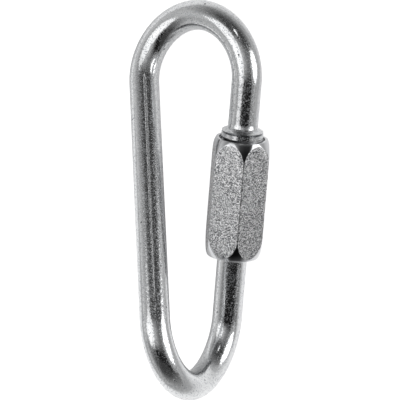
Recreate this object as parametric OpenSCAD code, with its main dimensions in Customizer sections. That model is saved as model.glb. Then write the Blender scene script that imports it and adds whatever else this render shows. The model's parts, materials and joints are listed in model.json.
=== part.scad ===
// Twisted chain quick link: one bent steel rod with a gate in one leg, and a long hexagon
// sleeve nut that screws across the gate. The loops at the two ends are turned about the long
// axis to each other, so both legs lean, and each loop takes a chain from its own direction.
// The link lies on a level surface as it comes to rest: on a shoulder of each loop and on the nut.

/* [Link] */
// Diameter of the rod
rod_d = 8; // [6:0.5:9]
// Overall length along the long axis, over the two crowns
link_length = 104.7; // [96:0.1:130]
// Bend radius of the loops, at the middle of the rod
bend_r = 14.8; // [13:0.1:17]
// Turn of one loop about the long axis, seen from the other
twist = 102; // [75:1:110]

/* [Gate] */
// Clear opening between the two threaded ends
gate_gap = 10.5; // [8:0.5:12]
// Outside diameter of the thread on both ends
thread_d = 11; // [10:0.1:11.4]
// Length of the lower end that the closed nut holds
lower_hold = 4.5; // [3:0.5:6]
// Length of thread left in sight above the closed nut
thread_show = 2; // [1:0.1:4]
// Length of the sloping shoulder from the thread down to the rod
shoulder_l = 1.3; // [1:0.1:3]
// Chamfer on the tip of each threaded end
tip_chamfer = 0.7; // [0.3:0.1:1]

/* [Sleeve nut] */
// Length of the nut
nut_l = 31.9; // [28:0.1:33]
// Width of the nut across its flats
nut_af = 14.2; // [13.8:0.1:18]
// Diameter of the flat rim at each end of the nut
nut_rim_d = 13.6; // [13:0.1:13.7]
// Length of the rounded end taper, along the corners
taper_l = 4.7; // [2:0.1:7]
// Turn of the nut on its thread, from a corner that faces square to the two legs
nut_turn = -6.5; // [-30:0.5:30]
// Height of the closed nut's middle above the middle of its leg
nut_lift = 1.1; // [-2:0.1:2]
// Countersink at each mouth of the bore
bore_chamfer = 0.4; // [0.2:0.1:0.5]
// Depth at which the lower shoulder sits inside the mouth of the closed nut
seat_depth = 0.5; // [0.2:0.1:2]

/* [Fits] */
// Radial clearance between the thread and the bore of the nut
thread_clear = 0.1; // [0.05:0.05:0.3]

/* [Hidden] */
$fn = 96;

// A bend is this much thinner than the stretch of rod it runs into, and runs in by this turn,
// so that the stretches join as one solid with no step to see
lap = 0.02;
lap_turn = 1;

rod_r = rod_d / 2;
nut_corner_r = nut_af / 2 / cos(30);
bore_r = thread_d / 2 + thread_clear;

// Shape of the rod's middle line. Each loop is two bends of one radius that meet at the crown.
// A bend rolls about its leg, so that the crown lies level and crosses the other crown by twist.
function bend_roll(lean) = atan(tan(twist / 2) * cos(lean));
function bend_turn(lean) = 90 + atan(sin(bend_roll(lean)) * tan(lean));
function bend_rise(lean) = 1 - cos(bend_turn(lean));
function leg_offset(lean) = bend_r * bend_rise(lean) * cos(bend_roll(lean));
function half_leg(lean) =
    bend_r * (bend_rise(lean) * sin(bend_roll(lean)) / tan(lean) - sin(bend_turn(lean)));
function crown_height(lean) =
    (half_leg(lean) + bend_r * sin(bend_turn(lean))) * cos(lean)
    + bend_r * bend_rise(lean) * sin(bend_roll(lean)) * sin(lean);

// The lean that gives the overall length, by halving: a longer link leans less
function find_lean(low, high, steps) =
    let (middle = (low + high) / 2)
    steps == 0 ? middle
    : crown_height(middle) > link_length / 2 - rod_r ? find_lean(middle, high, steps - 1)
    : find_lean(low, middle, steps - 1);

lean = find_lean(3, 40, 45);
turn = bend_turn(lean);
leg_half = half_leg(lean);

// The gated leg: its middle, its direction towards the upper loop, and the way to its upper bend
leg_middle = [leg_offset(lean), 0, 0];
leg_way = [0, -sin(lean), cos(lean)];
bend_way = [-cos(bend_roll(lean)), sin(bend_roll(lean)) * cos(lean), sin(bend_roll(lean)) * sin(lean)];
bend_centre = leg_middle + leg_half * leg_way + bend_r * bend_way;

// Stations along the gated leg, from its middle
nut_bottom = nut_lift - nut_l / 2;
nut_top = nut_lift + nut_l / 2;
lower_start = nut_bottom + seat_depth;
lower_tip = lower_start + lower_hold;
upper_tip = lower_tip + gate_gap;
upper_end = nut_top + thread_show;

// Half turns that carry the upper gated corner of the link to its other corners
function about_axis(p) = [-p.x, -p.y, p.z];
function end_for_end(p) = [p.x, -p.y, -p.z];

// Points along the middle line of one bend, and of the whole rod
bend_step = 1;
bend_line = [
    for (a = [0 : bend_step : turn])
        bend_centre + bend_r * (sin(a) * leg_way - cos(a) * bend_way)
];
upper_left_bend = [for (p = bend_line) about_axis(p)];
lower_right_bend = [for (p = bend_line) end_for_end(p)];
rod_line = concat(
    bend_line, upper_left_bend, lower_right_bend,
    [for (p = bend_line) about_axis(end_for_end(p))]
);

// The rounded end taper of the nut is an arc that leaves the corner line without a step
taper_drop = nut_corner_r - nut_rim_d / 2;
taper_r = (taper_l * taper_l + taper_drop * taper_drop) / (2 * taper_drop);
taper_sweep = asin(taper_l / taper_r);

// Points on the tapers round the six corners of the nut, out to the edges of the flats
nut_side = cross(leg_way, [0, -1, 0]) / norm(cross(leg_way, [0, -1, 0]));
nut_front = cross(nut_side, leg_way);
function nut_point(corner, aside, end, sweep) =
    let (
        out = nut_corner_r - taper_r * (1 - cos(sweep)),
        along = end * (nut_l / 2 - taper_l + taper_r * sin(sweep)),
        to_flat = 30 - acos(min(1, nut_af / 2 / out)),
        angle = nut_turn + corner * 60 + aside * to_flat
    )
    leg_middle + (nut_lift + along) * leg_way
    + out * (cos(angle) * nut_front + sin(angle) * nut_side);
nut_points = [
    for (corner = [0 : 5], aside = [-1 : 0.25 : 1], end = [-1, 1], part = [0 : 0.05 : 1])
        nut_point(corner, aside, end, part * taper_sweep)
];

// How the link lies. It rests on the upper left bend, the lower right bend and the nut, so the
// surface under it is the plane that touches all three, found by settling from a first guess.
function unit(v) = v / norm(v);
function farthest(points, way) =
    let (reach = [for (p = points) p * way], best = max(reach))
    [for (i = [0 : len(points) - 1]) if (reach[i] == best) points[i]][0];
function settle(way, steps) =
    steps == 0 ? way
    : let (
        on_upper = farthest(upper_left_bend, way) + rod_r * way,
        on_lower = farthest(lower_right_bend, way) + rod_r * way,
        on_nut = farthest(nut_points, way)
    )
    settle(unit(cross(on_nut - on_upper, on_lower - on_upper)), steps - 1);

down = settle([0, 1, 0], 20);
long_way = unit([0, 0, 1] - down.z * down);
cross_way = cross(long_way, -down);

// The lying link is centred over the origin, with its lowest points at height zero
function span(way) =
    let (
        rod_reach = [for (p = rod_line) p * way],
        nut_reach = [for (p = nut_points) p * way]
    )
    [min(min(rod_reach) - rod_r, min(nut_reach)), max(max(rod_reach) + rod_r, max(nut_reach))];
function middle_of(pair) = (pair[0] + pair[1]) / 2;
lie_shift = [-middle_of(span(cross_way)), -middle_of(span(long_way)), span(down)[1]];
lie_turn = [cross_way, long_way, -down];

module lie_down() {
    multmatrix([
        for (row = [0 : 2]) [lie_turn[row].x, lie_turn[row].y, lie_turn[row].z, lie_shift[row]],
        [0, 0, 0, 1]
    ])
        children();
}

// Carries a shape from its own axes to a place with the axes first, second and their normal
module place(origin, first, second) {
    third = cross(first, second);
    multmatrix([
        for (row = [0 : 2]) [first[row], second[row], third[row], origin[row]],
        [0, 0, 0, 1]
    ])
        children();
}

// Puts a shape that is drawn round the z axis on the gated leg, with z = 0 at the leg's middle
module on_gated_leg() {
    place(leg_middle, nut_front, nut_side) children();
}

// One bend of a loop, from just inside the end of its leg to the crown or a little past it
module bend(radius, past_crown) {
    place(bend_centre, -bend_way, leg_way)
        rotate([0, 0, -lap_turn])
            rotate_extrude(angle = lap_turn + turn + past_crown)
                translate([bend_r, 0]) circle(r = radius);
}

// The four bends, as half turns of one another. Those of the plain leg run into the others.
module bends() {
    for (over = [0, 180])
        rotate([over, 0, 0]) {
            bend(rod_r - lap, 0);
            rotate([0, 0, 180]) bend(rod_r - 2 * lap, lap_turn);
        }
}

module plain_leg() {
    rotate([0, 0, 180]) on_gated_leg()
        translate([0, 0, -leg_half]) cylinder(r = rod_r, h = 2 * leg_half);
}

// Half outline of a rod end: bare rod from the bend, sloping shoulder, thread, chamfered tip
module rod_end(bare_from, shoulder_from, tip) {
    way = sign(tip - bare_from);
    rotate_extrude()
        polygon([
            [0, bare_from],
            [rod_r, bare_from],
            [rod_r, shoulder_from - way * shoulder_l],
            [thread_d / 2, shoulder_from],
            [thread_d / 2, tip - way * tip_chamfer],
            [thread_d / 2 - tip_chamfer, tip],
            [0, tip]
        ]);
}

module gated_leg() {
    on_gated_leg() {
        rod_end(-leg_half, lower_start, lower_tip);
        rod_end(leg_half, upper_end, upper_tip);
    }
}

module link_body() {
    color("gainsboro") lie_down() {
        bends();
        plain_leg();
        gated_leg();
    }
}

// Half outline of the nut's turned form: straight along the corners, rounded in at both ends
module nut_outline() {
    square_half = nut_l / 2 - taper_l;
    intersection() {
        translate([0, -nut_l / 2]) square([nut_corner_r, nut_l]);
        union() {
            translate([0, -square_half]) square([nut_corner_r, 2 * square_half]);
            for (end = [-1, 1])
                translate([nut_corner_r - taper_r, end * square_half]) circle(r = taper_r);
        }
    }
}

module nut_bore() {
    mouth_r = bore_r + bore_chamfer;
    cylinder(r = bore_r, h = 2 * nut_l, center = true);
    for (flip = [0, 180])
        rotate([flip, 0, 0])
            translate([0, 0, nut_l / 2 - bore_chamfer])
                cylinder(r1 = bore_r, r2 = mouth_r + bore_chamfer, h = 2 * bore_chamfer);
}

module sleeve_nut() {
    color("silver") lie_down() on_gated_leg() translate([0, 0, nut_lift])
        difference() {
            intersection() {
                rotate([0, 0, nut_turn]) cylinder(r = nut_corner_r, h = nut_l, center = true, $fn = 6);
                rotate_extrude() nut_outline();
            }
            nut_bore();
        }
}

link_body();
sleeve_nut();
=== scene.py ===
"""Looks of a twisted chain quick link: a bent zinc-plated rod and the hexagon sleeve nut on its gate."""

import json
import logging
import math
from dataclasses import dataclass
from enum import Enum
from functools import partial
from typing import Any

import bpy
import numpy as np
from bpy.types import Material, Node, NodeSocket, NodeTree, Object
from mathutils import Euler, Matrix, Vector

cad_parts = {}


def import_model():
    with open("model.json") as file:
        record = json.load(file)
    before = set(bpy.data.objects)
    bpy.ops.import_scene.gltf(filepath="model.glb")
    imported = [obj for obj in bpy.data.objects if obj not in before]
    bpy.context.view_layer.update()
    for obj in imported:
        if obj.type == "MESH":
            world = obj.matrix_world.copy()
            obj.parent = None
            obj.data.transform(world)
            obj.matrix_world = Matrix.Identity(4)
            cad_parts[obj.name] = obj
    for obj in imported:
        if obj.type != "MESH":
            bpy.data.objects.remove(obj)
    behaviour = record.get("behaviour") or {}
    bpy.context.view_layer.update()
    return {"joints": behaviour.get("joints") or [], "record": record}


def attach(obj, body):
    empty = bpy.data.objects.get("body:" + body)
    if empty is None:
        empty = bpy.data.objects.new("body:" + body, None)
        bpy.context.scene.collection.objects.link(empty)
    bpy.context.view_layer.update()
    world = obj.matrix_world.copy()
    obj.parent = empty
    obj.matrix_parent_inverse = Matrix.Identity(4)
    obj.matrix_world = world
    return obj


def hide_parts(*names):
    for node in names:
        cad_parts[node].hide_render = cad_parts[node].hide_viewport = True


Span = tuple[float, float]
Triple = tuple[float, float, float]

LOG = logging.getLogger("quick_link")
MM = 0.001
TINY = 1e-6

# The two colour inputs of a Mix node, which share their names with its other kinds of input
MIX_A, MIX_B = 6, 7

# Nearly all of a noise pattern lies between these values
NOISE_SPAN = (0.3, 0.7)

# Edges that turn more than this stay sharp
SHARP_FROM = math.radians(38)


def linear(code: str) -> tuple[float, float, float, float]:
    """Turns an sRGB hex colour to linear.

    Args:
        code: The colour as "#rrggbb".

    Returns:
        Red, green, blue and alpha for a colour socket.
    """
    parts = [int(code[i:i + 2], 16) / 255 for i in (1, 3, 5)]
    red, green, blue = (c / 12.92 if c <= 0.04045 else ((c + 0.055) / 1.055) ** 2.4 for c in parts)
    return red, green, blue, 1.0


def per_mm(size: float) -> float:
    """Gives the pattern scale, in repeats per metre, of a feature of that size in millimetres."""
    return 1 / (size * MM)


def put(name: str, data: Any) -> Object:
    """Puts a new object with that data into the scene, at the origin.

    Args:
        name: The object's name.
        data: Its mesh, lamp or camera.

    Returns:
        The new object.
    """
    made = bpy.data.objects.new(name, data)
    bpy.context.scene.collection.objects.link(made)
    return made


def made_plain(source: Object, name: str) -> Object:
    """Turns what an object's modifiers make into a plain mesh object, and removes the source.

    Args:
        source: The object with the modifiers.
        name: The new object's name.

    Returns:
        The plain mesh object at the origin.
    """
    graph = bpy.context.evaluated_depsgraph_get()
    mesh = bpy.data.meshes.new_from_object(source.evaluated_get(graph), depsgraph=graph)
    mesh.name = name
    source.modifiers.clear()
    bpy.data.objects.remove(source)
    return put(name, mesh)


def add_node(tree: NodeTree, kind: str, links: dict[Any, Any] | tuple[Any, ...] = (),
             **settings: Any) -> Any:
    """Adds one node with its settings and links.

    Args:
        tree: The tree that the node goes into.
        kind: The node's type name.
        links: What feeds each input, which is a socket, a node or a value. The inputs are given by
            name or number, or else taken in their order.
        settings: The node's own properties.

    Returns:
        The new node.
    """
    node = tree.nodes.new(kind)
    for name, value in settings.items():
        setattr(node, name, value)
    for key, value in links.items() if isinstance(links, dict) else enumerate(links):
        if isinstance(value, Node):
            value = next(socket for socket in value.outputs if socket.enabled)
        if isinstance(value, NodeSocket):
            tree.links.new(value, node.inputs[key])
        else:
            node.inputs[key].default_value = value
    return node


def new_material(name: str) -> tuple[Material, Any, Any]:
    """Makes a material with only the place on the object in its tree.

    Args:
        name: The material's name.

    Returns:
        The new material, the function that adds a node to it, and the socket with the place.
    """
    material = bpy.data.materials.new(name)
    material.use_nodes = True
    material.node_tree.nodes.clear()
    add = partial(add_node, material.node_tree)
    return material, add, add("ShaderNodeTexCoord").outputs["Object"]


def end_as_metal(add: Any, tone: Any, rough: Any, relief: Any) -> None:
    """Ends a material's tree as bare metal.

    Args:
        add: The function that adds a node to the tree.
        tone: The node with the colour.
        rough: The node with the roughness.
        relief: The node with the bump.
    """
    shader = add("ShaderNodeBsdfPrincipled", {
        "Metallic": 1.0, "Base Color": tone, "Roughness": rough, "Normal": relief})
    add("ShaderNodeOutputMaterial", {"Surface": shader})


def facets(add: Any, place: Any, size: float) -> tuple[Any, Any]:
    """Covers a surface with small flat facets that lean at random.

    Args:
        add: The function that adds a node to the material's tree.
        place: The socket with the place on the object.
        size: The width of a facet in millimetres.

    Returns:
        The outputs with three random numbers for each facet, and the node with the height over it.
    """
    cells = add("ShaderNodeTexVoronoi", {"Vector": place, "Scale": per_mm(size)}).outputs
    luck = add("ShaderNodeSeparateColor", (cells["Color"],))
    lean = add("ShaderNodeVectorMath", (cells["Color"], (0.5, 0.5, 0.5)), operation="SUBTRACT")
    inside = add("ShaderNodeVectorMath", (place, cells["Position"]), operation="SUBTRACT")
    height = add("ShaderNodeVectorMath", (inside, lean), operation="DOT_PRODUCT")
    return luck.outputs, height


@dataclass(frozen=True)
class PlatedRodFinish:
    """Bright zinc plate on cold-drawn steel rod.

    The plate is a soft mirror: wide lights and the white table show in it as clear bands. The drawn
    steel under it is finely grained, so the bands break up into frosted specks, less so on the
    stretched bends. The draw line and the scratch catch light as thin pale lines. A few pits stay dark,
    and the relief grooves beside the threads are painted dark as shade. The real grain is a few
    hundredths of a millimetre wide. It is drawn coarser, so that it shows.
    """

    name: str = "zinc_plated_drawn_steel"
    bright: str = "#dedfe0"
    dull: str = "#c2c4c7"
    # Colour of the pits, and of the painted shade in the relief grooves
    dark: str = "#5c5e61"
    roughness: Span = (0.08, 0.12)
    frost: float = 0.31
    bend_frost: float = 0.24
    frosted_from: Span = (0.76, 0.84)
    rub: float = 0.2
    grain_mm: float = 0.27
    grain_lean: float = 0.05
    blotch_mm: float = 5.0
    pit_mm: float = 1.9
    pit_edge: Span = (0.16, 0.08)
    pit_depth_mm: float = 0.1
    pit_share: Span = (0.1, 0.5)

    def make(self) -> Material:
        """Builds the material's nodes.

        Returns:
            The finished material.
        """
        material, add, place = new_material(self.name)
        bent, rubbed, pitted, painted_relief_shade = (
            add("ShaderNodeAttribute", attribute_name=name).outputs["Fac"]
            for name in ("bent", "rubbed", "pitted", "painted_relief_shade"))

        # Frosted specks among smooth ones, and none on the line and the scratch
        luck, height = facets(add, place, self.grain_mm)
        frosted = add("ShaderNodeMapRange", (luck["Red"], *self.frosted_from))
        dulled = add("ShaderNodeMath", (frosted, rubbed), operation="SUBTRACT", use_clamp=True)

        # Pits, with more of them in the pitted places
        spots = add("ShaderNodeTexVoronoi", {"Vector": place, "Scale": per_mm(self.pit_mm)}).outputs
        chance = add("ShaderNodeSeparateColor", (spots["Color"],)).outputs["Red"]
        beyond = add("ShaderNodeMapRange", (pitted, 0.0, 1.0, *(1 - share for share in self.pit_share)))
        few = add("ShaderNodeMath", (chance, beyond), operation="GREATER_THAN")
        spot = add("ShaderNodeMapRange", (spots["Distance"], *self.pit_edge))
        pits = add("ShaderNodeMath", (few, spot), operation="MULTIPLY")

        tone = add("ShaderNodeMix", {
            "Factor": dulled, MIX_A: linear(self.bright), MIX_B: linear(self.dull)}, data_type="RGBA")
        # The pits are dark, and the relief grooves are painted dark as shade
        pits_and_shade = add("ShaderNodeMath", (pits, painted_relief_shade), operation="MAXIMUM")
        pits_and_shade_tone = add("ShaderNodeMix", {
            "Factor": pits_and_shade, MIX_A: tone, MIX_B: linear(self.dark)}, data_type="RGBA")
        blotch = add("ShaderNodeTexNoise", {
            "Vector": place, "Scale": per_mm(self.blotch_mm), "Detail": 3.0, "Roughness": 0.6})
        gloss = add("ShaderNodeMapRange", (blotch, *NOISE_SPAN, *self.roughness))
        frost = add("ShaderNodeMapRange", (bent, 0.0, 1.0, self.frost, self.bend_frost))
        scuffed = add("ShaderNodeMath", (rubbed, self.rub, gloss), operation="MULTIPLY_ADD")
        rough = add("ShaderNodeMath", (dulled, frost, scuffed), operation="MULTIPLY_ADD")
        leaning = add("ShaderNodeMath", (height, self.grain_lean), operation="MULTIPLY")
        sunk = add("ShaderNodeMath", (pits, -self.pit_depth_mm * MM, leaning), operation="MULTIPLY_ADD")
        bump = add("ShaderNodeBump", {"Distance": 1.0, "Height": sunk})
        end_as_metal(add, pits_and_shade_tone, rough, bump)
        return material


@dataclass(frozen=True)
class DrawnFlatFinish:
    """Zinc-plated flats of cold-drawn hexagon bar.

    The bar's skin is coarse and pebbled under the plate, so a flat is an even sparkling grey with
    no clear reflections. The pebbles are drawn coarser than they are, so that they show.
    """

    name: str = "zinc_plated_hexagon_bar"
    bright: str = "#fafafb"
    dull: str = "#6a6c6f"
    bright_from: Span = (0.25, 0.7)
    roughness: Span = (0.24, 0.3)
    grain_mm: float = 0.2
    grain_lean: float = 0.1
    blotch_mm: float = 6.0

    def make(self) -> Material:
        """Builds the material's nodes.

        Returns:
            The finished material.
        """
        material, add, place = new_material(self.name)
        luck, height = facets(add, place, self.grain_mm)
        pale = add("ShaderNodeMapRange", (luck["Blue"], *self.bright_from))
        tone = add("ShaderNodeMix", {
            "Factor": pale, MIX_A: linear(self.dull), MIX_B: linear(self.bright)}, data_type="RGBA")
        blotch = add("ShaderNodeTexNoise", {
            "Vector": place, "Scale": per_mm(self.blotch_mm), "Detail": 2.0})
        gloss = add("ShaderNodeMapRange", (blotch, *NOISE_SPAN, *self.roughness))
        bump = add("ShaderNodeBump", {"Distance": self.grain_lean, "Height": height})
        end_as_metal(add, tone, gloss, bump)
        return material


class RoughBy(Enum):
    """What the roughness of a turned or rolled surface follows, by the span of it."""

    GRAIN = NOISE_SPAN
    GROOVE = (0.0, 1.0)


@dataclass(frozen=True)
class TurnedFinish:
    """Zinc-plated turned steel, on the rounded tapers and rims of the nut.

    The lathe leaves it smooth, so it is nearly a mirror with a faint haze. Where the tapers run out
    on the upper corner, the plate is painted dark as shade.
    """

    name: str = "zinc_plated_turned_steel"
    tint: str = "#d3d4d6"
    painted_shade: str = "#3c3d3f"
    roughness: Span = (0.1, 0.17)
    rough_by: RoughBy = RoughBy.GRAIN
    grain_mm: float = 0.5
    grain_depth_mm: float = 0.010

    def make(self) -> Material:
        """Builds the material's nodes.

        Returns:
            The finished material.
        """
        material, add, place = new_material(self.name)
        # The groove attribute, painted as shade: at the nut's upper corner, at the mouth of its bore and in
        # the thread's roots
        painted_dark = add("ShaderNodeAttribute", attribute_name="groove").outputs["Fac"]
        grain = add("ShaderNodeTexNoise", {"Vector": place, "Scale": per_mm(self.grain_mm), "Detail": 2.0})
        tone = add("ShaderNodeMix", {
            "Factor": painted_dark, MIX_A: linear(self.tint), MIX_B: linear(self.painted_shade)}, data_type="RGBA")
        guide = {RoughBy.GRAIN: grain, RoughBy.GROOVE: painted_dark}[self.rough_by]
        gloss = add("ShaderNodeMapRange", (guide, *self.rough_by.value, *self.roughness))
        bump = add("ShaderNodeBump", {"Distance": self.grain_depth_mm * MM, "Height": grain})
        end_as_metal(add, tone, gloss, bump)
        return material


@dataclass(frozen=True)
class ThreadFinish(TurnedFinish):
    """Zinc-plated rolled thread.

    The rolled crests are smooth and bright, and the roots are duller and painted dark as shade.
    """

    name: str = "zinc_plated_rolled_thread"
    tint: str = "#cfd0d2"
    painted_shade: str = "#3a3b3d"
    roughness: Span = (0.22, 0.48)
    rough_by: RoughBy = RoughBy.GROOVE
    grain_mm: float = 0.4
    grain_depth_mm: float = 0.015


def unit(v: np.ndarray) -> np.ndarray:
    """Scales a vector, or each row of vectors, to length one."""
    return v / np.linalg.norm(v, axis=-1, keepdims=True)


def carried(e: np.ndarray, way: np.ndarray, next_way: np.ndarray) -> np.ndarray:
    """Carries a direction square to one tangent over to the next without twist.

    Args:
        e: The direction.
        way: The tangent it is square to.
        next_way: The tangent to carry it to.

    Returns:
        The direction square to the next tangent.
    """
    return unit(e - (e @ next_way) / (1 + way @ next_way) * (way + next_way))


@dataclass(frozen=True)
class LinkAxes:
    """The link's own axes as it lies in the frame: across the legs, out of them, and along the link."""

    across: np.ndarray
    out: np.ndarray
    along: np.ndarray
    centre: np.ndarray

    @classmethod
    def from_record(cls, record: dict[str, Any], joint: dict[str, Any]) -> "LinkAxes":
        """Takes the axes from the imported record's eyes and joint.

        Args:
            record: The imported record.
            joint: The joint that runs the nut along its leg.

        Returns:
            The axes, with the centre in millimetres.
        """
        eyes = {m["name"]: m for m in record["mounts"]}
        along = unit(np.array(eyes["upper_eye"]["axis"], float))
        across = unit(np.cross(along, np.array(joint["axis"], float)))
        middle = (np.array(eyes["upper_eye"]["pos_m"]) + np.array(eyes["lower_eye"]["pos_m"])) / 2
        return cls(across, np.cross(along, across), along, middle / MM)

    def turned(self, v: np.ndarray) -> np.ndarray:
        """Turns directions given in the link's axes into the frame."""
        return v @ np.array([self.across, self.out, self.along])

    def placed(self, points: np.ndarray) -> np.ndarray:
        """Carries points given in the link's axes, in millimetres, into the frame."""
        return self.turned(points) + self.centre


# Half turns of the link, in its own axes, that carry it onto itself
ABOUT_LENGTH = np.array([-1.0, -1.0, 1.0])
END_FOR_END = np.array([1.0, -1.0, -1.0])

# The way out of the two legs that faces the camera, in the link's own axes
FACE = np.array([0.0, -1.0, 0.0])


@dataclass
class RodLine:
    """The middle line of the rod, as points from the lower threaded tip round to the upper one."""

    points: np.ndarray
    ways: np.ndarray
    station: np.ndarray
    plain_middle: int


@dataclass
class BentRod:
    """The bent rod of the link, with its two threaded ends.

    Sizes are in millimetres. Marks on the rod are placed by the distance along its middle line from
    the lower tip, and by the turn round it from the draw line, in degrees.
    """

    axes: LinkAxes
    rod_d: float = 7.88
    link_length: float = 104.7
    cad_rod_d: float = 8.0
    bend_r: float = 14.8
    twist: float = 102.0
    lean_range: Span = (3.0, 40.0)
    lower_tip: float = -9.85
    upper_tip: float = 0.65
    lower_hold: float = 4.5
    upper_end: float = 19.05
    thread_d: float = 10.98
    thread_depth: float = 0.62
    thread_fade: float = 0.5
    pitch: float = 1.5
    # Where a flank of the thread starts and ends, in turns from the root
    flank: Span = (0.06, 0.36)
    tip_chamfer: float = 0.7
    shoulder_l: float = 1.0
    # The hollow of the shoulder: its share of the shoulder's length, and its height over the rod
    hollow: Span = (0.62, 0.22)
    # Points on the soft outer edge of the shoulder, along the rod and out from the thread
    edge: tuple[Span, ...] = ((-0.04, -0.04), (0.0, -0.01), (0.06, -0.07))
    relief_w: float = 0.56
    relief_depth: float = 0.5
    relief_floor: Span = (0.2, 0.34)
    # Places across the relief groove where the painted shade starts, is full, thins out and ends
    relief_shade: tuple[float, ...] = (0.0, 0.1, 0.41, 0.51)
    relief_shade_share: float = 0.5
    collar_w: float = 1.05
    columns: int = 180
    mark_columns: float = 1.2
    line_turn: float = -9.0
    line_depth: float = 0.09
    # How far the draw line takes to come in, and how far it fades before and past the upper bend
    line_fade: Triple = (6.0, 1.0, 1.0)
    scratch: tuple[Span, ...] = (
        (59.5, -52.4), (62.5, -38.1), (65.3, -26.9), (67.9, -23.2), (70.1, -20.6))
    scratch_depth: float = 0.03
    scratch_fade: float = 2.0
    pits: tuple[Span, ...] = ((13.0, 146.0), (32.0, 146.0), (43.0, 60.0), (49.0, 60.0))
    pit_spread: Span = (12.0, 26.0)
    # How far off the line of its leg the rod starts to count as bent, and fully does
    bent_from: Span = (0.05, 2.0)

    def __post_init__(self) -> None:
        """Finds the lean of the legs that gives the overall length, by halving."""
        low, high = (math.radians(a) for a in self.lean_range)
        for _ in range(60):
            self.lean = (low + high) / 2
            self.roll = math.atan(math.tan(math.radians(self.twist) / 2) * math.cos(self.lean))
            self.turn = math.pi / 2 + math.atan(math.sin(self.roll) * math.tan(self.lean))
            rise = 1 - math.cos(self.turn)
            side = self.bend_r * rise * math.sin(self.roll)
            self.leg_half = side / math.tan(self.lean) - self.bend_r * math.sin(self.turn)
            reach = self.leg_half + self.bend_r * math.sin(self.turn)
            crown = reach * math.cos(self.lean) + side * math.sin(self.lean)
            if crown > (self.link_length - self.cad_rod_d) / 2:
                low = self.lean
            else:
                high = self.lean
        self.offset = np.array([self.bend_r * rise * math.cos(self.roll), 0.0, 0.0])
        self.leg_way = np.array([0.0, -math.sin(self.lean), math.cos(self.lean)])
        self.bend_way = np.array([
            -math.cos(self.roll), math.sin(self.roll) * math.cos(self.lean),
            math.sin(self.roll) * math.sin(self.lean)])

    def leg(self, stops: np.ndarray) -> tuple[np.ndarray, np.ndarray]:
        """Gives points and tangents on the gated leg at those distances from its middle."""
        return self.offset + stops[:, None] * self.leg_way, np.tile(self.leg_way, (len(stops), 1))

    def bend(self, count: int) -> tuple[np.ndarray, np.ndarray]:
        """Gives that many points and tangents round the upper bend of the gated leg, to the crown.

        Args:
            count: How many points to give.

        Returns:
            The points and the tangents.
        """
        a = np.linspace(0, self.turn, count)[:, None]
        centre = self.offset + self.leg_half * self.leg_way + self.bend_r * self.bend_way
        points = centre + self.bend_r * (np.sin(a) * self.leg_way - np.cos(a) * self.bend_way)
        return points, np.cos(a) * self.leg_way + np.sin(a) * self.bend_way

    def end_stops(self, tip: float, end: float) -> np.ndarray:
        """Gives the ring places of one threaded end, from its tip to the end of its shoulder.

        Args:
            tip: Place of the tip along the leg.
            end: Place along the leg where the thread ends and the shoulder starts.

        Returns:
            Places along the leg, in order from the tip.
        """
        way = math.copysign(1.0, end - tip)
        length = abs(end - tip)
        groove = length - self.relief_w
        cut = groove - self.collar_w
        chamfer_rings, rings_per_pitch, collar_rings, fine_rings = 5, 12, 8, 9
        step = self.pitch / rings_per_pitch
        fine = np.concatenate([
            np.linspace(0, self.tip_chamfer, chamfer_rings),
            np.arange(self.tip_chamfer + step, cut, step),
            np.linspace(cut, groove, collar_rings),
            np.linspace(groove, length, fine_rings)[1:],
            length + np.linspace(0, self.shoulder_l, fine_rings)[1:]])
        return tip + way * fine

    def line(self) -> RodLine:
        """Lays out the middle line with a ring place wherever the rod's form needs one.

        Returns:
            The line in the link's own axes.
        """
        coarse, clear, bend_count, plain_count = 1.2, 0.5, 46, 54
        lower = self.end_stops(self.lower_tip, self.lower_tip - self.lower_hold)
        upper = self.end_stops(self.upper_tip, self.upper_end)
        low_leg = np.append(lower, np.arange(lower[-1] - coarse, -self.leg_half + clear, -coarse))
        high_leg = np.append(upper, np.arange(upper[-1] + coarse, self.leg_half - clear, coarse))
        plain = np.linspace(-self.leg_half, self.leg_half, plain_count)
        bend, bend_way = self.bend(bend_count)
        # Each stretch has its points, its tangents, the order to take them in and their sense
        stretches = [
            (*self.leg(low_leg), 1, -1),
            (bend * END_FOR_END, bend_way * END_FOR_END, 1, 1),
            (bend * END_FOR_END * ABOUT_LENGTH, bend_way * END_FOR_END * ABOUT_LENGTH, -1, -1),
            tuple(v * ABOUT_LENGTH for v in self.leg(plain)) + (1, 1),
            (bend * ABOUT_LENGTH, bend_way * ABOUT_LENGTH, 1, 1),
            (bend, bend_way, -1, -1),
            (*self.leg(high_leg), -1, -1),
        ]
        points = np.concatenate([p[::order] for p, _, order, _ in stretches])
        ways = np.concatenate([w[::order] * sense for _, w, order, sense in stretches])
        gaps = np.linalg.norm(np.diff(points, axis=0), axis=1)
        keep = np.append(True, gaps > TINY)
        points, ways = points[keep], ways[keep]
        station = np.append(0, np.cumsum(np.linalg.norm(np.diff(points, axis=0), axis=1)))
        from_plain_middle = np.linalg.norm(points + self.offset, axis=1)
        return RodLine(points, ways, station, int(np.argmin(from_plain_middle)))

    def lays(self, line: RodLine) -> np.ndarray:
        """Gives the direction of the draw line at each ring, carried round the rod without twist.

        Args:
            line: The middle line.

        Returns:
            One direction for each point, square to the rod.
        """
        middle = line.plain_middle
        way = line.ways[middle]
        front = unit(FACE - (FACE @ way) * way)
        turn = math.radians(self.line_turn)
        lay = np.zeros_like(line.points)
        lay[middle] = math.cos(turn) * front + math.sin(turn) * np.cross(way, front)
        for i in range(middle + 1, len(lay)):
            lay[i] = carried(lay[i - 1], line.ways[i - 1], line.ways[i])
        for i in range(middle - 1, -1, -1):
            lay[i] = carried(lay[i + 1], line.ways[i + 1], line.ways[i])
        return lay

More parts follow.
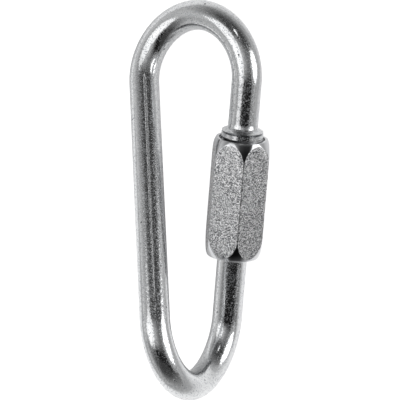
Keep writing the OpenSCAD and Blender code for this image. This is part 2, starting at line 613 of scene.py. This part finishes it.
    def end_outline(self, length: float) -> np.ndarray:
        """Gives the outline of one threaded end: tip, thread, relief groove, shoulder edge and shoulder.

        Args:
            length: How far the thread runs from the tip to the shoulder.

        Returns:
            Rows of distance from the tip and from the axis.
        """
        thread_r, rod_r = self.thread_d / 2, self.rod_d / 2
        groove = length - self.relief_w
        return np.array([
            (0, thread_r - self.tip_chamfer), (self.tip_chamfer, thread_r), (groove, thread_r),
            *((groove + across, thread_r - self.relief_depth) for across in self.relief_floor),
            *((length + along, thread_r + out) for along, out in self.edge),
            (length + self.shoulder_l * self.hollow[0], rod_r + self.hollow[1]),
            (length + self.shoulder_l, rod_r)])

    def forms(self, line: RodLine) -> dict[str, np.ndarray]:
        """Works out the rod's radius and its marks along the line.

        Args:
            line: The middle line.

        Returns:
            For each named form, one value at each point of the line.
        """
        at = line.station
        reach = np.full(len(at), self.rod_d / 2)
        thread, painted_relief_shade = np.zeros((2, len(at)))
        in_and_out = [0, 1, 1, 0]
        for from_tip, length in ((at, self.lower_hold), (at[-1] - at, self.upper_end - self.upper_tip)):
            here = from_tip <= length + self.shoulder_l + TINY
            reach[here] = np.interp(from_tip[here], *self.end_outline(length).T)
            groove = length - self.relief_w
            cut = groove - self.collar_w
            thread[here] = np.interp(from_tip[here], [cut - self.thread_fade, cut], [1, 0])
            # The relief groove beside each thread is painted dark as shade
            relief_shade = np.interp(from_tip[here] - groove, self.relief_shade, in_and_out)
            painted_relief_shade[here] = self.relief_shade_share * relief_shade
        plain = at[np.abs(line.points[:, 0] + self.offset[0]) < TINY]
        come_in, before, past = self.line_fade
        draw = np.interp(
            at, [plain[0], plain[0] + come_in, plain[-1] - before, plain[-1] + past], in_and_out)
        along, turn = np.array(self.scratch).T
        fade = self.scratch_fade
        scratch = np.interp(at, [along[0] - fade, along[0], along[-1], along[-1] + fade], in_and_out)
        pit_along, pit_turn = np.array(self.pits).T
        from_leg = np.abs(np.abs(line.points[:, 0]) - self.offset[0])
        return {
            "reach": reach * MM, "thread": thread, "painted_relief_shade": painted_relief_shade, "draw": draw, "scratch": scratch,
            "scratch_at": np.radians(np.interp(at, along, turn)),
            "pit": np.interp(at, pit_along, np.ones_like(pit_along), 0, 0),
            "pit_at": np.radians(np.interp(at, pit_along, pit_turn)),
            "bent": np.interp(from_leg, self.bent_from, [0, 1])}

    def path_object(self) -> Object:
        """Makes the middle line as a wire mesh that carries the rod's forms.

        Returns:
            The wire's object, in the frame.
        """
        line = self.line()
        mesh = bpy.data.meshes.new("rod_line")
        placed = self.axes.placed(line.points) * MM
        mesh.from_pydata(placed.tolist(), [(i, i + 1) for i in range(len(placed) - 1)], [])
        vectors = {
            "middle": placed, "lay": self.axes.turned(self.lays(line)), "way": self.axes.turned(line.ways)}
        for name, value in vectors.items():
            mesh.attributes.new(name, "FLOAT_VECTOR", "POINT").data.foreach_set("vector", value.ravel())
        for name, value in (self.forms(line) | {"station": line.station * MM}).items():
            mesh.attributes.new(name, "FLOAT", "POINT").data.foreach_set("value", value)
        return put("rod_line", mesh)

    def sweep_tree(self, inputs: dict[str, Any]) -> NodeTree:
        """Builds the node tree that sweeps the rod along its line, cuts its threads and marks it.

        Args:
            inputs: The tree's named inputs, with their values.

        Returns:
            The tree.
        """
        tree = bpy.data.node_groups.new("rod_sweep", "GeometryNodeTree")
        add = partial(add_node, tree)
        kinds = {float: "NodeSocketFloat", int: "NodeSocketInt", Material: "NodeSocketMaterial"}
        tree.interface.new_socket("Line", in_out="INPUT", socket_type="NodeSocketGeometry")
        for name, value in inputs.items():
            tree.interface.new_socket(name, in_out="INPUT", socket_type=kinds[type(value)])
        tree.interface.new_socket("Rod", in_out="OUTPUT", socket_type="NodeSocketGeometry")
        size = add("NodeGroupInput").outputs
        vectors = ("middle", "lay", "way")
        floats = ("reach", "thread", "draw", "scratch", "scratch_at", "pit", "pit_at", "station")
        carry = {
            name: add("GeometryNodeInputNamedAttribute", {"Name": name}, data_type=kind).outputs[0]
            for kind, names in (("FLOAT_VECTOR", vectors), ("FLOAT", floats)) for name in names}

        # The plain sweep, with the ring's first point on the draw line
        wire = add("GeometryNodeMeshToCurve", {"Mesh": size["Line"]})
        laid = add("GeometryNodeSetCurveNormal", {"Curve": wire, "Normal": carry["lay"]}, mode="FREE")
        ring = add("GeometryNodeCurvePrimitiveCircle", {"Resolution": size["Columns"], "Radius": MM})
        swept = add("GeometryNodeCurveToMesh", {"Curve": laid, "Profile Curve": ring, "Fill Caps": True})

        # Each point's direction from the middle line, and its turn from the draw line
        place = add("GeometryNodeInputPosition")
        outward = add("ShaderNodeVectorMath", (place, carry["middle"]), operation="SUBTRACT")
        radial = add("ShaderNodeVectorMath", (outward,), operation="NORMALIZE")
        aside = add("ShaderNodeVectorMath", (carry["way"], carry["lay"]), operation="CROSS_PRODUCT")
        to_side = add("ShaderNodeVectorMath", (radial, aside), operation="DOT_PRODUCT")
        to_line = add("ShaderNodeVectorMath", (radial, carry["lay"]), operation="DOT_PRODUCT")
        around = add("ShaderNodeMath", (to_side, to_line), operation="ARCTAN2")

        # The thread's groove winds once round the rod for each pitch along it
        pitches = add("ShaderNodeMath", (carry["station"], size["Pitch"]), operation="DIVIDE")
        turns = add("ShaderNodeMath", (around, -1 / math.tau, pitches), operation="MULTIPLY_ADD")
        from_root = add("ShaderNodeMath", (turns, 0.5), operation="PINGPONG")
        flank = add("ShaderNodeMapRange", (
            from_root, *self.flank, 1.0, 0.0), interpolation_type="SMOOTHSTEP")
        groove = add("ShaderNodeMath", (flank, carry["thread"]), operation="MULTIPLY")

        # The draw line, the scratch and the pitted places
        marks = []
        for along, turn, near, far in (
                ("draw", 0.0, 0.0, size["Mark width"]),
                ("scratch", carry["scratch_at"], 0.0, size["Mark width"]),
                ("pit", carry["pit_at"], size["Pit near"], size["Pit far"])):
            beside = add("ShaderNodeMath", (around, turn), operation="SUBTRACT")
            off = add("ShaderNodeMath", (beside,), operation="ABSOLUTE")
            close = add("ShaderNodeMapRange", (off, near, far, 1.0, 0.0))
            marks.append(add("ShaderNodeMath", (close, carry[along]), operation="MULTIPLY"))
        line, nick, pitted = marks
        rubbed = add("ShaderNodeMath", (line, nick), operation="MAXIMUM")

        # The true form: each ring out to the rod's radius, less what is cut away
        cut = add("ShaderNodeMath", (groove, size["Thread depth"]), operation="MULTIPLY")
        for mark, depth in ((line, "Line depth"), (nick, "Scratch depth")):
            cut = add("ShaderNodeMath", (mark, size[depth], cut), operation="MULTIPLY_ADD")
        reach = add("ShaderNodeMath", (carry["reach"], cut), operation="SUBTRACT")
        scaled = add("ShaderNodeVectorMath", {0: radial, "Scale": reach}, operation="SCALE")
        formed = add("ShaderNodeVectorMath", (carry["middle"], scaled), operation="ADD")
        marked = swept
        # The groove also darkens the thread's roots in their finish, as painted shade
        for name, value in (("groove", groove), ("rubbed", rubbed), ("pitted", pitted)):
            marked = add("GeometryNodeStoreNamedAttribute", {
                "Geometry": marked, "Name": name, "Value": value}, data_type="FLOAT", domain="POINT")
        shaped = add("GeometryNodeSetPosition", {"Geometry": marked, "Position": formed})

        # Smooth faces, sharp edges and the finishes
        angle = add("GeometryNodeInputMeshEdgeAngle").outputs["Unsigned Angle"]
        soft = add("FunctionNodeCompare", (angle, SHARP_FROM), operation="LESS_THAN")
        smooth = add("GeometryNodeSetShadeSmooth", {"Geometry": shaped, "Shade Smooth": True})
        edged = add("GeometryNodeSetShadeSmooth", {"Geometry": smooth, "Shade Smooth": soft}, domain="EDGE")
        real = add("GeometryNodeRealizeInstances", {"Geometry": edged})
        plated = add("GeometryNodeSetMaterial", {"Geometry": real, "Material": size["Rod finish"]})
        in_thread = add("FunctionNodeCompare", (carry["thread"], 0.01), operation="GREATER_THAN")
        threaded = add("GeometryNodeSetMaterial", {
            "Geometry": plated, "Selection": in_thread, "Material": size["Thread finish"]})
        add("NodeGroupOutput", {"Rod": threaded})
        return tree

    def build(self, rod_finish: Material, thread_finish: Material) -> Object:
        """Sweeps the rod and makes it a plain mesh.

        Args:
            rod_finish: The finish of the rod.
            thread_finish: The finish of its threads.

        Returns:
            The rod as one object at the origin.
        """
        near, far = (math.radians(a) for a in self.pit_spread)
        inputs = {
            "Pitch": self.pitch * MM, "Thread depth": self.thread_depth * MM,
            "Mark width": self.mark_columns * math.tau / self.columns,
            "Line depth": self.line_depth * MM, "Scratch depth": self.scratch_depth * MM,
            "Pit near": near, "Pit far": far, "Columns": self.columns,
            "Rod finish": rod_finish, "Thread finish": thread_finish}
        wire = self.path_object()
        modifier = wire.modifiers.new("rod_sweep", "NODES")
        modifier.node_group = self.sweep_tree(inputs)
        for item in modifier.node_group.interface.items_tree:
            if item.in_out == "INPUT" and item.name in inputs:
                modifier[item.identifier] = inputs[item.name]
        return made_plain(wire, "bent_rod")


class NutSkin(Enum):
    """The kinds of surface on the nut, by material slot."""

    FLAT = 0
    TURNED = 1
    BORE = 2


@dataclass
class SleeveNut:
    """The long hexagon sleeve nut that closes the gate. Sizes are in millimetres."""

    axes: LinkAxes
    rod: BentRod
    length: float = 31.9
    across_flats: float = 14.2
    rim_d: float = 13.6
    taper_l: float = 6.3
    turn: float = -6.5
    lift: float = 1.1
    bore_d: float = 11.2
    bore_chamfer: float = 0.4
    mouth_step: float = 0.02
    mouth_edge: float = 0.05
    thread_depth: float = 0.36
    # Where a flank of the thread starts and ends, from the crest to the root
    flank: Span = (0.3, 0.8)
    corner_r: float = 0.3
    edge_soft: float = 0.05
    # Rows stand close together this far beside the end of a flat, or over this share of the taper
    edge_band: float = 0.4
    edge_share: float = 0.6
    lip: float = 0.1
    # How far from the upper corner the painted shade is full and ends, in degrees
    corner_shade_turn: Span = (10.0, 20.0)
    # Distance below the rim, and how strong the painted shade is there
    corner_shade_fade: tuple[Span, ...] = ((0.15, 0.0), (0.5, 0.87), (2.2, 1.0))

    def hexagon(self, angle: np.ndarray) -> np.ndarray:
        """Gives the distance from the axis to the hexagon, with its corners rounded.

        Args:
            angle: Angles from the middle of a flat, in radians.

        Returns:
            One distance for each angle.
        """
        half, corner = self.across_flats / 2, math.radians(30)
        flat = half / np.cos(angle)
        from_corner = corner - np.abs(angle)
        centre = (half - self.corner_r) / math.cos(corner)
        inside = np.maximum(self.corner_r ** 2 - (centre * np.sin(from_corner)) ** 2, 0)
        rounded = centre * np.cos(from_corner) + np.sqrt(inside)
        edge = math.atan(math.tan(corner) * (1 - self.corner_r / half))
        return np.where(np.abs(angle) > edge, rounded, flat)

    def columns(self) -> tuple[np.ndarray, np.ndarray]:
        """Gives the columns round the nut, closer together at the corners.

        Returns:
            Angles round the nut, and the same from the middle of the nearest flat, in radians.
        """
        near = np.array([30, 29.75, 29.5, 29.2, 28.8, 28.3, 27.6, 26.6, 25.2])
        one = np.radians(np.concatenate([-near, np.linspace(-23.5, 23.5, 22), near[:0:-1]]))
        flats = np.radians(30 + 60 * np.arange(6))
        return (flats[:, None] + one).ravel(), np.tile(one, 6)

    def half_outline(self, from_flat: float) -> list[tuple[float, float, NutSkin]]:
        """Traces one column of the nut's outside from its middle to the mouth of the bore.

        Args:
            from_flat: The column's angle from the middle of its flat.

        Returns:
            Distance from the axis, height, and the skin from there on, for each point.
        """
        half, lip = self.length / 2, self.lip
        corner = self.across_flats / 2 / math.cos(math.radians(30))
        drop = corner - self.rim_d / 2
        arc = (self.taper_l ** 2 + drop ** 2) / (2 * drop)
        start = half - self.taper_l
        hexagon = float(self.hexagon(np.array(from_flat)))
        meet = start + math.sqrt(arc ** 2 - (arc - corner + hexagon) ** 2)

        def outside(z: float) -> float:
            """Gives the distance from the axis at a height, soft where the flat meets the taper."""
            taper = corner - arc + math.sqrt(arc ** 2 - max(z - start, 0) ** 2)
            return (hexagon + taper - math.hypot(hexagon - taper, self.edge_soft)) / 2

        flat_rows, taper_rows, face_rows = 15, 9, 4
        near = min(self.edge_band, (half - lip - meet) * self.edge_share)
        steps = np.array([1, 0.6, 0.36, 0.2, 0.09]) * near
        flat = [*np.linspace(0, meet - near, flat_rows)[:-1], *(meet - steps)]
        turned = [meet, *(meet + steps[::-1]), *np.linspace(meet + near, half - lip, taper_rows)[1:]]
        points = [(outside(z), z, NutSkin.FLAT) for z in flat]
        points += [(outside(z), z, NutSkin.TURNED) for z in turned]
        rim, mouth = outside(half - lip), self.bore_d / 2 + self.bore_chamfer
        round_over = ((0.25, 0.55), (0.55, 0.2), (1.0, 0.0))
        points += [(rim - lip * s, half - lip * c, NutSkin.TURNED) for s, c in round_over]
        face = np.linspace(rim - lip, mouth + self.mouth_edge, face_rows)[1:]
        points += [(r, half, NutSkin.TURNED) for r in face]
        slant = [self.bore_chamfer * t for t in (0, 0.5)]
        # The chamfer of the mouth takes the bore's skin, which is painted dark as shade
        points += [(mouth - t, half - self.mouth_step - t, NutSkin.BORE) for t in slant]
        return points

    def build(self, skins: dict[NutSkin, Material]) -> Object:
        """Makes the nut as one closed mesh, dressed by the kind of surface.

        Args:
            skins: The finish of each kind of surface.

        Returns:
            The nut as one object at the origin.
        """
        angles, from_flat = self.columns()
        pitch, rows_per_pitch = self.rod.pitch, 9
        deep = self.length / 2 - self.mouth_step - self.bore_chamfer
        bore_z = np.linspace(deep, -deep, int(2 * deep / pitch * rows_per_pitch))
        halves = [self.half_outline(float(a)) for a in from_flat]
        top = np.array([[p[:2] for p in half] for half in halves])
        kind = [p[2] for p in halves[0]]
        fade = np.interp(deep - np.abs(bore_z), [0, pitch / 2], [0, 1])
        phase = (bore_z[:, None] / pitch - angles[None] / math.tau) % 1
        cut = np.interp(np.abs(phase - 0.5) * 2, self.flank, [0, 1])
        groove = cut * cut * (3 - 2 * cut) * fade[:, None]
        bore = self.bore_d / 2 + self.thread_depth * groove
        radii = np.concatenate([top[:, :, 0].T, bore, top[:, :0:-1, 0].T])
        rises = np.concatenate([top[:, :, 1].T, np.tile(bore_z[:, None], len(angles)), -top[:, :0:-1, 1].T])

        # The bore's mouth is painted as dark as its thread's roots, and the upper corner dark, both as shade
        from_upper = np.degrees(np.abs((angles + math.pi) % math.tau - math.pi))
        at_corner = np.interp(from_upper, self.corner_shade_turn, [1, 0])
        below_rim = np.interp(self.length / 2 - top[:, :, 1].T, *np.array(self.corner_shade_fade).T)
        skin = np.array([k.value for k in kind])[:, None]
        dark = np.where(skin == NutSkin.TURNED.value, below_rim * at_corner, skin == NutSkin.BORE.value)
        depth = np.concatenate([dark, groove, dark[:0:-1]])
        kinds = kind + [NutSkin.BORE] * len(bore_z) + kind[:0:-1]

        # The nut stands on the gated leg, turned on its thread
        way = self.rod.leg_way
        side = unit(np.cross(way, FACE))
        front = np.cross(side, way)
        turn = angles + math.radians(self.turn)
        out = np.cos(turn)[:, None] * front + np.sin(turn)[:, None] * side
        middle = self.rod.offset + self.lift * way
        points = middle + rises[..., None] * way + radii[..., None] * out[None]
        return self.skinned(self.axes.placed(points.reshape(-1, 3)) * MM, radii.shape, kinds, depth, skins)

    def skinned(self, points: np.ndarray, shape: tuple[int, int], kinds: list[NutSkin], depth: np.ndarray,
                skins: dict[NutSkin, Material]) -> Object:
        """Joins rows of points into a closed ring of faces.

        Args:
            points: The points, row by row, in the frame.
            shape: How many rows and columns there are.
            kinds: The kind of surface of each row.
            depth: How deep in the thread each point is, or how strongly it is painted dark as shade.
            skins: The finish of each kind of surface.

        Returns:
            The closed mesh as one object.
        """
        count, width = shape
        index = np.arange(count * width).reshape(shape)
        down, right = np.roll(index, -1, axis=0), np.roll(index, -1, axis=1)
        both = np.roll(down, -1, axis=1)
        faces = np.stack([index, right, both, down], axis=-1).reshape(-1, 4)
        mesh = bpy.data.meshes.new("hexagon_sleeve")
        mesh.from_pydata(points.tolist(), [], faces.tolist())
        for skin in NutSkin:
            mesh.materials.append(skins[skin])
        row_kind = []
        for i in range(count):
            pair = {kinds[i], kinds[(i + 1) % count]}
            row_kind.append(next(k for k in (NutSkin.TURNED, NutSkin.BORE, NutSkin.FLAT) if k in pair))
        mesh.polygons.foreach_set("material_index", np.repeat([k.value for k in row_kind], width))
        mesh.attributes.new("groove", "FLOAT", "POINT").data.foreach_set("value", depth.ravel())
        mesh.polygons.foreach_set("use_smooth", np.ones(len(faces), bool))
        mesh.validate()
        mesh.set_sharp_from_angle(angle=SHARP_FROM)
        return put("hexagon_sleeve", mesh)


@dataclass(frozen=True)
class SoftBox:
    """A round soft box, placed by angles in degrees as seen from the link.

    Attributes:
        name: The lamp's name.
        from_top: Angle from straight overhead.
        bearing: Angle round the link from its right hand side.
        tall: Angle that the box spans up and down.
        wide: Angle that it spans sideways.
        level: Its brightness, where 1 is white.
    """

    name: str
    from_top: float
    bearing: float
    tall: float
    wide: float
    level: float

    def hang(self, target: Vector, distance: float) -> None:
        """Hangs the box so that it faces the link.

        Args:
            target: The place it faces.
            distance: How far off it hangs, in metres.
        """
        turn = Euler((0.0, math.radians(self.from_top), math.radians(self.bearing)))
        lamp = bpy.data.lights.new(self.name, "AREA")
        lamp.shape = "ELLIPSE"
        spans = (self.tall, self.wide)
        lamp.size, lamp.size_y = (2 * distance * math.tan(math.radians(a) / 2) for a in spans)
        lamp.energy = math.pi * lamp.size * lamp.size_y * self.level
        hung = put(self.name, lamp)
        hung.location = target + turn.to_matrix() @ Vector((0.0, 0.0, distance))
        hung.rotation_euler = turn
        hung.visible_camera = False


@dataclass(frozen=True)
class Room:
    """The room round the studio: white to the camera, and dim to all else.

    Its parts are soft. Each lies between two values of a direction's X, Y or Z, which point to the
    right of the link, to its upper end and straight overhead.

    Attributes:
        wall, wall_level: The paler wall on the left, from its edge, by X.
        front, front_level: The foot of the room, from left to right, by X.
        foot, head_level: The room at table height, from that foot to its head, by Y.
        low, dark_level: The room from its dark upper part down to table height, by Z.
        strip_middle, strip_x, strip_level: The middle of a lit strip of ceiling, by X and Y, and
            the distances from there where it starts and stops to dim, by X.
        strip_y: The distances where it starts and stops to fade away, by Y.
        ends_middle, ends, ends_level: The two ends of the room: the middle between them, and the
            distances from there where they start and are full, by Y.
    """

    wall: Span = (-0.3, -0.95)
    wall_level: float = 0.26
    front: Span = (0.1, 0.8)
    front_level: Span = (0.5, 0.22)
    foot: Span = (-0.6, 0.9)
    head_level: float = 0.26
    low: Span = (0.45, 0.0)
    dark_level: float = 0.008
    strip_middle: Span = (-0.1, 0.09)
    strip_x: Span = (0.1, 0.45)
    strip_level: Span = (0.5, 0.19)
    strip_y: Span = (0.15, 0.44)
    ends_middle: float = -0.12
    ends: Span = (0.4, 0.52)
    ends_level: float = 0.05

    def paint(self) -> None:
        """Builds the room as the scene's world."""
        world = bpy.data.worlds.new("room")
        world.use_nodes = True
        world.node_tree.nodes.clear()
        add = partial(add_node, world.node_tree)
        way = add("ShaderNodeTexCoord").outputs["Generated"]
        x, y, z = add("ShaderNodeSeparateXYZ", (way,)).outputs
        wall = add("ShaderNodeMapRange", (x, *self.wall, 0.0, self.wall_level))
        front = add("ShaderNodeMapRange", (x, *self.front, *self.front_level))
        foot = add("ShaderNodeMapRange", (y, *self.foot, front, self.head_level))
        low = add("ShaderNodeMapRange", (z, *self.low, self.dark_level, foot))
        off = []
        for part, middle in zip((x, y, y), (*self.strip_middle, self.ends_middle)):
            aside = add("ShaderNodeMath", (part, middle), operation="SUBTRACT")
            off.append(add("ShaderNodeMath", (aside,), operation="ABSOLUTE"))
        along = add("ShaderNodeMapRange", (off[0], *self.strip_x, *self.strip_level))
        strip = add("ShaderNodeMapRange", (off[1], *self.strip_y, along, 0.0))
        ends = add("ShaderNodeMapRange", (off[2], *self.ends, 0.0, self.ends_level))
        dim = wall
        for part in (low, ends, strip):
            dim = add("ShaderNodeMath", (dim, part), operation="ADD")
        path = add("ShaderNodeLightPath").outputs
        level = add("ShaderNodeMix", {
            "Factor": path["Is Camera Ray"], "A": dim, "B": 1.0}, data_type="FLOAT")
        room = add("ShaderNodeBackground", {"Color": (1.0, 1.0, 1.0, 1.0), "Strength": level})
        add("ShaderNodeOutputWorld", {"Surface": room})
        bpy.context.scene.world = world


@dataclass
class Studio:
    """The plain studio round the link: white table, soft boxes, dim room and the camera."""

    boxes: tuple[SoftBox, ...] = (
        SoftBox("left_box", 36.5, 175.0, 51.0, 50.0, 0.72),
        SoftBox("left_core", 38.6, 183.0, 19.0, 26.0, 0.38),
        SoftBox("right_box", 71.0, 5.8, 39.0, 41.0, 1.55),
        SoftBox("right_halo", 65.0, -4.0, 48.0, 50.0, 0.2),
        SoftBox("small_box", 44.0, 79.0, 15.0, 9.0, 1.1))
    box_distance: float = 1.4
    table_reach: float = 4.0
    table_tint: str = "#ececec"
    camera_glow: float = 0.85
    near_glow: float = 0.7
    far_glow: float = 0.08
    glow_reach: Span = (0.058, 0.11)
    pool_scale: Triple = (1.15, 0.6, 0.0)
    pool_shift: Triple = (0.035, 0.02, 0.0)
    shade_reach: float = 0.025
    shade_way: Triple = (0.85, 0.0, 0.53)
    shade_power: float = 3.2
    look_at: Triple = (0.000755, -0.000006, 0.013443)
    camera_tilt: Triple = (-4.832, 6.403, 0.196)
    camera_distance: float = 0.6474
    lens: float = 223.39
    sensor: float = 36.0

    def build(self) -> None:
        """Sets the table, the lamps, the room and the camera."""
        self.set_table()
        for box in self.boxes:
            box.hang(Vector(self.look_at), self.box_distance)
        Room().paint()
        self.set_camera()

    def set_table(self) -> None:
        """Makes the white table top, which keeps the link's shadow."""
        mesh = bpy.data.meshes.new("table")
        corners = ((-1, -1), (1, -1), (1, 1), (-1, 1))
        mesh.from_pydata([(self.table_reach * x, self.table_reach * y, 0) for x, y in corners],
                         [], [(0, 1, 2, 3)])
        mesh.materials.append(self.table_finish())
        put("table", mesh)

    def table_finish(self) -> Material:
        """Makes the table's white laminate: matt, and lit through to the camera and to the metal.

        The metal sees a painted pool of light on it round the link, and painted shade close under the link.

        Returns:
            The finished material.
        """
        material, add, place = new_material("white_matt_laminate")
        matt = add("ShaderNodeBsdfDiffuse", {"Color": linear(self.table_tint)})
        path = add("ShaderNodeLightPath").outputs
        # A painted pool of light and painted shade under the link, which only the metal's reflections see
        pool = add("ShaderNodeVectorMath", (
            place, self.pool_scale, self.pool_shift), operation="MULTIPLY_ADD")
        away = add("ShaderNodeVectorMath", (pool,), operation="LENGTH")
        near = add("ShaderNodeMapRange", (away, *self.glow_reach, self.near_glow, self.far_glow))
        to_box = add("ShaderNodeCombineXYZ", self.shade_way)
        clear = add("ShaderNodeAmbientOcclusion", {
            "Distance": self.shade_reach, "Normal": to_box}, samples=8).outputs["AO"]
        shade = add("ShaderNodeMath", (clear, self.shade_power), operation="POWER")
        shaded = add("ShaderNodeMath", (shade, near), operation="MULTIPLY")
        mirrored = add("ShaderNodeMath", (path["Is Glossy Ray"], shaded), operation="MULTIPLY")
        shown = add("ShaderNodeMath", (
            path["Is Camera Ray"], self.camera_glow, mirrored), operation="MULTIPLY_ADD")
        glow = add("ShaderNodeEmission", {"Strength": shown})
        both = add("ShaderNodeAddShader", (matt, glow))
        add("ShaderNodeOutputMaterial", {"Surface": both})
        return material

    def set_camera(self) -> None:
        """Puts the camera where the photograph was taken from."""
        data = bpy.data.cameras.new("camera")
        data.sensor_width, data.lens = self.sensor, self.lens
        camera = put("camera", data)
        turn = Euler([math.radians(a) for a in self.camera_tilt])
        camera.rotation_euler = turn
        camera.location = Vector(self.look_at) + turn.to_matrix() @ Vector((0, 0, self.camera_distance))
        bpy.context.scene.camera = camera


def main() -> None:
    """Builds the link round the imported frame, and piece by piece."""
    logging.basicConfig(level=logging.INFO, format="%(name)s: %(message)s")
    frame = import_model()
    bpy.context.scene.view_settings.view_transform = "Standard"
    Studio().build()
    LOG.info("studio set")
    axes = LinkAxes.from_record(frame["record"], frame["joints"][0])
    thread = ThreadFinish().make()
    rod = BentRod(axes)
    body = rod.build(PlatedRodFinish().make(), thread)
    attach(body, "link")
    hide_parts("link_body")
    LOG.info("%s: %d faces", body.name, len(body.data.polygons))
    nut = SleeveNut(axes, rod).build({
        NutSkin.FLAT: DrawnFlatFinish().make(), NutSkin.TURNED: TurnedFinish().make(), NutSkin.BORE: thread})
    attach(nut, "nut")
    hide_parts("sleeve_nut")
    LOG.info("%s: %d faces", nut.name, len(nut.data.polygons))


if __name__ == "__main__":
    main()
